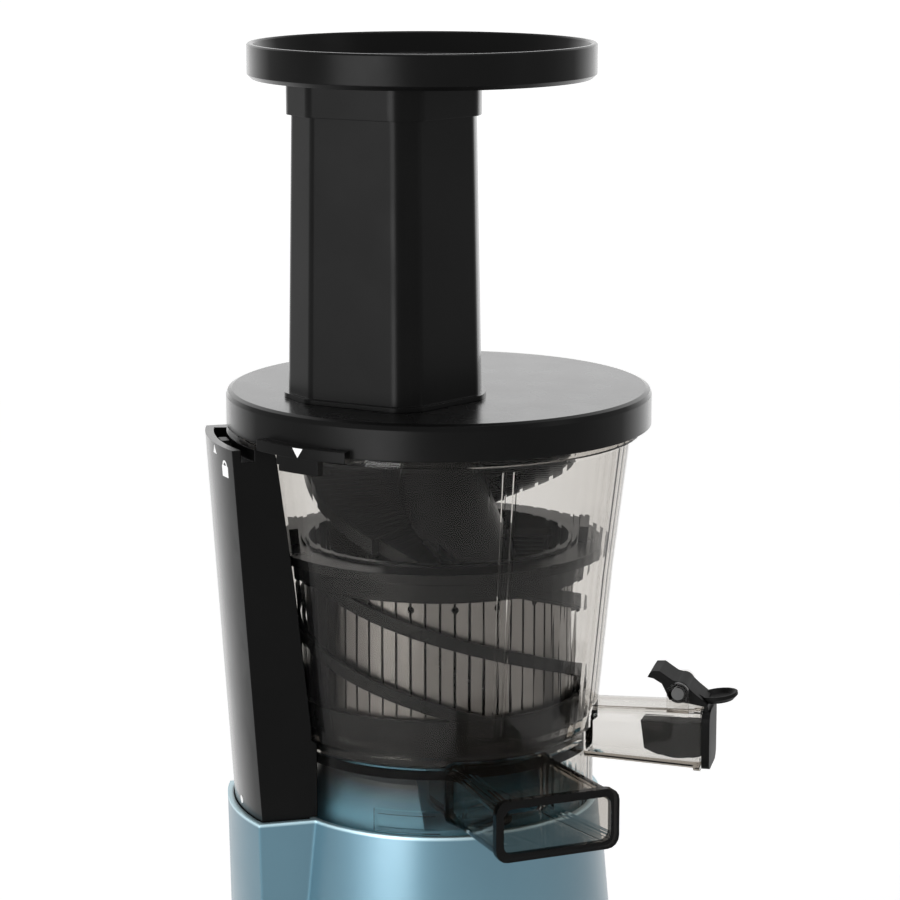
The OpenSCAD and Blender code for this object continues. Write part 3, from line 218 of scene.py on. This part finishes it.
# What each material is made of: the arguments of the steps of Mat, which are taken in the order of STEPS
STEPS = ("colour", "rough", "put", "edges", "sheen", "bump", "smoke", "split")
SURFACES = {
    "black_plastic": {
        "colour": (grey(0.0022), grey(0.0034), 35), "rough": (0.28, 0.36, 60),
        "put": {"specular": 0.075, "coat_roughness": 0.2},
        "edges": (0.45,), "sheen": (1.7,), "bump": (420, 0.3, 0.004),
    },
    "dark_plastic": {
        "colour": (grey(0.0035), grey(0.0055), 35), "rough": (0.26, 0.34, 60), "put": {"specular": 0.16},
        "edges": (0.4,), "bump": (380, 0.3, 0.004),
    },
    "matt_plastic": {
        "colour": (grey(0.005), grey(0.008), 35), "rough": (0.36, 0.44, 60), "put": {"specular": 0.04},
        "edges": (0.5,), "bump": (300, 0.3, 0.004),
    },
    "pin_plastic": {
        "colour": (grey(0.07), grey(0.09), 60), "rough": (0.4, 0.5, 90), "put": {"specular": 0.2},
        "edges": (0.3,),
    },
    "white_plastic": {
        "colour": ((0.66, 0.66, 0.62), (0.72, 0.72, 0.69), 60), "rough": (0.35, 0.45, 90),
        "edges": (0.3,), "bump": (500, 0.3, 0.004),
    },
    "clear_plastic": {**CLEAR, "smoke": (SMOKE, BOWL_DENSITY)},
    "smoky_plastic": {
        **CLEAR, "smoke": (SMOKE, SPOUT_DENSITY),
        # Dark band at the spout's mouth: painted shade
        "split": (RESIDUE_PAINTED_SHADE, grey(0.02), (math.cos(RESIDUE_TURN), math.sin(RESIDUE_TURN), 0)),
    },
    "blue_plastic": {
        "colour": ((0.06, 0.153, 0.207), (0.067, 0.165, 0.219), 26), "rough": (0.34, 0.4, 45),
        "put": {"metallic": 0.5, "specular": 0.4, "coat": 0.55, "coat_roughness": 0.24, "coat_ior": 1.7},
        # Pale line along the top of the rim: a painted highlight
        "edges": (1.4,), "bump": (300, 0.3, 0.004), "split": (RIM_PAINTED_HIGHLIGHT, (0.54, 0.77, 0.85)),
    },
    "deck_plastic": {
        "colour": ((0.15, 0.38, 0.51), (0.165, 0.4, 0.53), 26), "rough": (0.34, 0.42, 45),
        # Darker towards the top of the deck: painted shade
        "put": {"specular": 0.3}, "edges": (0.6,), "split": (DECK_PAINTED_SHADE, (0.034, 0.041, 0.046)),
    },
    "screen_steel": {
        "colour": ((0.14, 0.133, 0.126), (0.21, 0.2, 0.19), 30, (1, 1, 0.05)),
        "rough": (0.28, 0.38, 260, (1, 1, 0.04)), "put": {"metallic": 1.0},
    },
    "steel": {
        "colour": ((0.5, 0.5, 0.51), (0.62, 0.62, 0.63), 200), "rough": (0.2, 0.3, 90),
        "put": {"metallic": 1.0}, "edges": (0.2,),
    },
    "grey_metal": {
        "colour": ((0.32, 0.33, 0.34), (0.42, 0.43, 0.44), 120), "rough": (0.4, 0.55, 90),
        "put": {"metallic": 0.9}, "edges": (0.3,), "bump": (500, 0.3, 0.03),
    },
    "bronze": {
        "colour": ((0.45, 0.30, 0.13), (0.56, 0.40, 0.19), 300), "rough": (0.3, 0.45, 90),
        "put": {"metallic": 1.0}, "edges": (0.2,),
    },
    "copper": {
        "colour": ((0.40, 0.19, 0.09), (0.52, 0.27, 0.13), 400, (1, 1, 8)), "rough": (0.3, 0.45, 90),
        "put": {"metallic": 0.9}, "bump": (900, 0.4, 0.04, (1, 1, 8)),
    },
    "rubber": {
        "colour": (grey(0.008), grey(0.012), 80), "rough": (0.48, 0.6, 90), "put": {"specular": 0.3},
        "edges": (0.5,), "bump": (500, 0.3, 0.02),
    },
    "green_board": {
        "colour": ((0.02, 0.12, 0.05), (0.03, 0.16, 0.07), 300), "rough": (0.3, 0.4, 90),
    },
    "white_ink": {
        "colour": ((0.82, 0.82, 0.82), (0.88, 0.88, 0.88), 400), "rough": (0.4, 0.5, 90),
    },
}


def make_material(name, surface):
    made = Mat(name)
    for step in STEPS:
        values = surface.get(step, ())
        if isinstance(values, dict):
            made.put(**values)
        elif values:
            getattr(made, step)(*values)
    return made.mat


# Nodes whose finish differs from that of their slot
FINISH = {
    "residue_spout": "smoky_plastic", "base_deck": "deck_plastic", "interlock_rod": "dark_plastic",
    "juice_cap": "matt_plastic", "cap_pin": "pin_plastic",
}
# Faces that meet at more than this, in degrees, keep a sharp edge
NODE_SMOOTH, PIECE_SMOOTH = 28, 30


def smooth(mesh, angle):
    mesh.shade_smooth()
    mesh.set_sharp_from_angle(angle=math.radians(angle))


def dress_nodes():
    slots = {s["node"]: s["material_slot"] for s in frame["record"]["subparts"]}
    for name, obj in frame["nodes"].items():
        obj.data.materials.clear()
        obj.data.materials.append(MATERIALS[FINISH.get(name, slots[name])])
        smooth(obj.data, NODE_SMOOTH)


# ---------------------------------------------------------------- pieces of the scene's own
def add_piece(name, body, material, bm):
    """Object from a bmesh in millimetres, riding on a body."""
    bmesh.ops.recalc_face_normals(bm, faces=bm.faces)
    bmesh.ops.scale(bm, vec=(MM, MM, MM), verts=bm.verts)
    mesh = bpy.data.meshes.new(name)
    bm.to_mesh(mesh)
    bm.free()
    mesh.materials.append(MATERIALS[material])
    smooth(mesh, PIECE_SMOOTH)
    obj = link_to_scene(bpy.data.objects.new(name, mesh))
    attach(obj, body)
    return obj


def arc(cx, cy, r, a0, a1, n):
    """Points of an arc, between two angles in degrees."""
    turn = [math.radians(a0 + (a1 - a0) * i / n) for i in range(n + 1)]
    return [(cx + r * math.cos(t), cy + r * math.sin(t)) for t in turn]


def circle(r, n):
    return arc(0, 0, r, 0, 360 - 360 / n, n - 1)


def band(cx, cy, r_in, r_out, a0, a1, n=16):
    return arc(cx, cy, r_out, a0, a1, n) + arc(cx, cy, r_in, a1, a0, n)


def rectangle(x0, y0, x1, y1):
    return [(x0, y0), (x1, y0), (x1, y1), (x0, y1)]


def add_wall(bm, a, b):
    """Faces between two loops of as many points."""
    for i in range(len(a)):
        j = (i + 1) % len(a)
        bm.faces.new((a[i], a[j], b[j], b[i]))


# How far a print stands out of its surface, and how deep it goes
PRINT_LIFT, PRINT_DEPTH = 0.05, 0.12


def add_print(name, body, loops, place):
    """Flat printed marks: loops in mm, put on their surface by place(u, v, height)."""
    bm = bmesh.new()
    for loop in loops:
        top = [bm.verts.new(place(u, v, PRINT_LIFT)) for u, v in loop]
        low = [bm.verts.new(place(u, v, -PRINT_DEPTH)) for u, v in loop]
        faces = [bm.faces.new(top), bm.faces.new(low[::-1])]
        add_wall(bm, low, top)
        bmesh.ops.triangulate(bm, faces=faces)
    add_piece(name, body, "white_ink", bm)


def round_wall(angle, z_at, radius):
    """Places a print on an upright round wall: u runs anticlockwise, v up."""
    def place(u, v, height):
        z = z_at + v
        r = radius(z)
        a = math.radians(angle) + u / r
        return ((r + height) * math.cos(a), (r + height) * math.sin(a), z)
    return place


# Radius and height of the post's wall, at its foot and at its top
POST_LOW, POST_TOP = (69, 160), (77, 284)
# Radius of the lid's tab
TAB_R = 73.8
# Radius and height of the base's rim, and how much its wall widens for each mm down
BASE_RIM, BASE_FLARE = (54, 160), 0.09


def post_r(z):
    share = (z - POST_LOW[1]) / (POST_TOP[1] - POST_LOW[1])
    return POST_LOW[0] + (POST_TOP[0] - POST_LOW[0]) * share


def tab_r(_):
    return TAB_R


PADLOCK = [rectangle(-2.3, -3.0, 2.3, 0.7), band(0, 0.7, 1.0, 1.75, 0, 180, 12)]
# Name, body, loops, direction in degrees, height and wall of each mark
MARKS = (
    ("post_arrow", "bowl", [[(-1.7, -1.3), (1.7, -1.3), (0, 1.5)]], 200.5, 281.9, post_r),
    ("post_padlock", "bowl", PADLOCK, 207, 277.4, post_r),
    ("post_dot", "bowl", [circle(1.35, 24)], 199.5, 163, post_r),
    ("tab_arrow", "lid", [[(-2.05, 1.5), (0, -1.5), (2.05, 1.5)]], 233.6, 287.2, tab_r),
)


def add_marks():
    for name, body, loops, angle, z, radius in MARKS:
        add_print(name, body, loops, round_wall(angle, z, radius))


# Knob on the base's front, whose axis is level: its height, its radius and the front of its grip
KNOB_Z, KNOB_R, GRIP_FRONT = 52, 15, -82.12
POINTER = rectangle(-0.6, 3.5, 0.6, 12.2)
# Radius of the dial's marks, and where they stand, in degrees clockwise from the top
DIAL_R, OFF, ON, REVERSE = 21.5, 0, 50, -50
DIAL = (
    (OFF, band(0, DIAL_R, 1.5, 2.1, 0, 180)), (OFF, band(0, DIAL_R, 1.5, 2.1, 180, 360)),
    (ON, rectangle(-0.35, DIAL_R - 2.1, 0.35, DIAL_R + 2.1)),
    (REVERSE, band(0, DIAL_R, 1.6, 2.2, -60, 150)),
    (REVERSE, [(-2.9, DIAL_R + 1.2), (-0.9, DIAL_R + 0.4), (-2.3, DIAL_R - 0.9)]),
)


def turned(points, angle):
    """Points in the dial's plane, moved from the top of the dial clockwise by an angle."""
    c, s = math.cos(math.radians(-angle)), math.sin(math.radians(-angle))
    return [(x * c - z * s, x * s + z * c) for x, z in points]


def on_dial(u, v, height):
    """Place on the base's front, u to the right and v up from the knob's axis."""
    z = KNOB_Z + v
    r = BASE_RIM[0] + BASE_FLARE * (BASE_RIM[1] - z) + height
    return (u, -math.sqrt(r * r - u * u), z)


def on_grip(u, v, height):
    return (u, GRIP_FRONT - height, KNOB_Z + v)


def add_dial():
    loops = [turned(points, angle) for angle, points in DIAL]
    add_print("dial_marks", "base", loops, on_dial)
    add_print("knob_pointer", "knob", [POINTER], on_grip)


# Grip ridges: their number, half their width, how deep they root and how far they stand out
RIDGES, RIDGE_HALF, RIDGE_ROOT, RIDGE_OUT = 40, 0.42, 0.3, 0.28
# Width of a ridge's crest as a share of its foot
RIDGE_CREST = 0.45
# Place along the knob's axis and radius of the grip, at a ridge's two ends
RIDGE_ENDS = ((-69.6, KNOB_R - 0.25), (-76.4, KNOB_R - 0.95))


def add_knob_ridges():
    """Fine grip ridges round the knob's side."""
    bm = bmesh.new()
    crest = RIDGE_HALF * RIDGE_CREST
    for i in range(RIDGES):
        a = 2 * math.pi * i / RIDGES
        c, s = math.cos(a), math.sin(a)
        ends = []
        for y, r in RIDGE_ENDS:
            root, top = r - RIDGE_ROOT, r + RIDGE_OUT
            points = ((root, -RIDGE_HALF), (top, -crest), (top, crest), (root, RIDGE_HALF))
            ends.append([bm.verts.new((p * c - q * s, y, KNOB_Z + p * s + q * c)) for p, q in points])
        add_wall(bm, *ends)
        bm.faces.new(ends[0][::-1])
        bm.faces.new(ends[1])
    add_piece("knob_ridges", "knob", "black_plastic", bm)


# Cover screws: their distance from the axis, the underside and the top of the head, and the shank's end
SCREW_PLACE, SCREW_LOW, SCREW_TOP, SHANK_TOP = 34, 1.7, 3.5, 14.5
# Radius and height above its underside of the head's rounded edge, and radius of the shank
HEAD = ((2.3, 0), (2.85, 0.35), (3.0, 0.8))
SHANK_R, SCREW_POINTS = 1.58, 24
# Cross recess: half width and half length of its arms, depth, and size of its floor as a share
CROSS_HALF, CROSS_ARM, CROSS_DEPTH, CROSS_FLOOR = 0.42, 1.75, 1.2, 0.6


def cross_outline():
    w, l = CROSS_HALF, CROSS_ARM
    return [(l, w), (w, w), (w, l), (-w, l), (-w, w), (-l, w),
            (-l, -w), (-w, -w), (-w, -l), (w, -l), (w, -w), (l, -w)]


def add_screw(bm, cx, cy):
    def loop(points, z):
        return [bm.verts.new((cx + x, cy + y, z)) for x, y in points]

    cross, shank = cross_outline(), circle(SHANK_R, SCREW_POINTS)
    rim, edge, side = (loop(circle(r, SCREW_POINTS), SCREW_LOW + up) for r, up in HEAD)
    mouth = loop(cross, SCREW_LOW)
    floor = loop([(CROSS_FLOOR * x, CROSS_FLOOR * y) for x, y in cross], SCREW_LOW + CROSS_DEPTH)
    head = loop(circle(HEAD[-1][0], SCREW_POINTS), SCREW_TOP)
    neck, tip = loop(shank, SCREW_TOP), loop(shank, SHANK_TOP)
    rings = (rim, edge, side, head, neck, tip)
    for a, b in (*zip(rings, rings[1:]), (mouth, floor)):
        add_wall(bm, a, b)
    bm.faces.new(tip)
    bm.faces.new(floor)
    edges = [bm.edges.get((ring[i], ring[(i + 1) % len(ring)]))
             for ring in (rim, mouth) for i in range(len(ring))]
    bmesh.ops.triangle_fill(bm, edges=edges, use_beauty=True)


def add_screws():
    """Cover screws with rounded heads and cross recesses, in place of the plain ones."""
    bm = bmesh.new()
    for angle in (45, 135, 225, 315):
        turn = math.radians(angle)
        add_screw(bm, SCREW_PLACE * math.cos(turn), SCREW_PLACE * math.sin(turn))
    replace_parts(add_piece("cross_screws", "base", "steel", bm), "cover_screws")


# ---------------------------------------------------------------- light and floor
# Strength of the world as it is seen, directly or in gloss and glass, and as it lights the object
WORLD_SEEN, WORLD_LIGHT = 1.0, 0.38
# Side of the floor, its glow near and far, and the distances between which it grows, in metres
FLOOR_SIZE, FLOOR_GLOW, GLOW_REACH = 80.0, (0.44, 0.70), (0.3, 3.0)
WHITE = (1, 1, 1, 1)
LIGHT_AIM = (0, 0, 0.25)
# Name, place, aim, size in metres, power in watts, and whether it is seen through the clear plastic
LAMPS = (
    ("key", (-1.24, -1.56, 0.3), LIGHT_AIM, (1.35, 0.56), 22, True),
    ("low", (-0.64, -1.1, 0.11), (0, 0, 0.12), (0.62, 0.18), 3.2, False),
    ("fill", (1.7, -0.7, 0.9), LIGHT_AIM, (0.5, 1.0), 3, False),
    ("top", (0.1, 0.2, 1.9), LIGHT_AIM, (0.8, 0.6), 8, False),
)


def rays(tree):
    """1 for camera, glossy and transmission rays, otherwise 0."""
    path = tree.nodes.new("ShaderNodeLightPath")
    total = path.outputs["Is Camera Ray"]
    for name in ("Is Glossy Ray", "Is Transmission Ray"):
        larger = tree.nodes.new("ShaderNodeMath")
        larger.operation = "MAXIMUM"
        tree.links.new(total, larger.inputs[0])
        tree.links.new(path.outputs[name], larger.inputs[1])
        total = larger.outputs[0]
    return total


def add_world():
    world = bpy.data.worlds.new("studio")
    bpy.context.scene.world = world
    world.use_nodes = True
    tree = world.node_tree
    strength = tree.nodes.new("ShaderNodeMapRange")
    tree.links.new(rays(tree), strength.inputs["Value"])
    strength.inputs["To Min"].default_value = WORLD_LIGHT
    strength.inputs["To Max"].default_value = WORLD_SEEN
    back = tree.nodes["Background"]
    back.inputs["Color"].default_value = WHITE
    tree.links.new(strength.outputs["Result"], back.inputs["Strength"])


def add_floor():
    mesh = bpy.data.meshes.new("floor")
    h = FLOOR_SIZE / 2
    mesh.from_pydata([(-h, -h, 0), (h, -h, 0), (h, h, 0), (-h, h, 0)], [], [(0, 1, 2, 3)])
    floor = link_to_scene(bpy.data.objects.new("floor", mesh))
    m = Mat("floor").colour((0.86, 0.86, 0.86), (0.88, 0.88, 0.88), 3)
    m.put(roughness=0.9, specular=0.2)
    # Far from the lamps the floor is as pale as the background
    away = m.node("ShaderNodeVectorMath", operation="LENGTH")
    m.link(m.coords, away.inputs[0])
    glow = m.node("ShaderNodeMath", operation="MULTIPLY")
    m.link(rays(m.tree), glow.inputs[0])
    m.link(m.spread(away.outputs["Value"], *FLOOR_GLOW, GLOW_REACH), glow.inputs[1])
    m.link(glow.outputs[0], m.shader.inputs["Emission Strength"])
    m.shader.inputs["Emission Color"].default_value = WHITE
    mesh.materials.append(m.mat)


def add_lamps():
    for name, place, aim, size, power, through_clear in LAMPS:
        data = bpy.data.lights.new(name, "AREA")
        data.shape = "RECTANGLE"
        data.size, data.size_y = size
        data.energy = power
        lamp = link_to_scene(bpy.data.objects.new(name, data))
        lamp.location = place
        lamp.visible_transmission = through_clear
        towards = Vector(aim) - Vector(place)
        lamp.rotation_euler = towards.to_track_quat("-Z", "Y").to_euler()


add_camera()
MATERIALS = {name: make_material(name, surface) for name, surface in SURFACES.items()}
dress_nodes()
add_marks()
add_dial()
add_knob_ridges()
add_screws()
add_world()
add_floor()
add_lamps()

bpy.context.scene.view_settings.view_transform = "Standard"
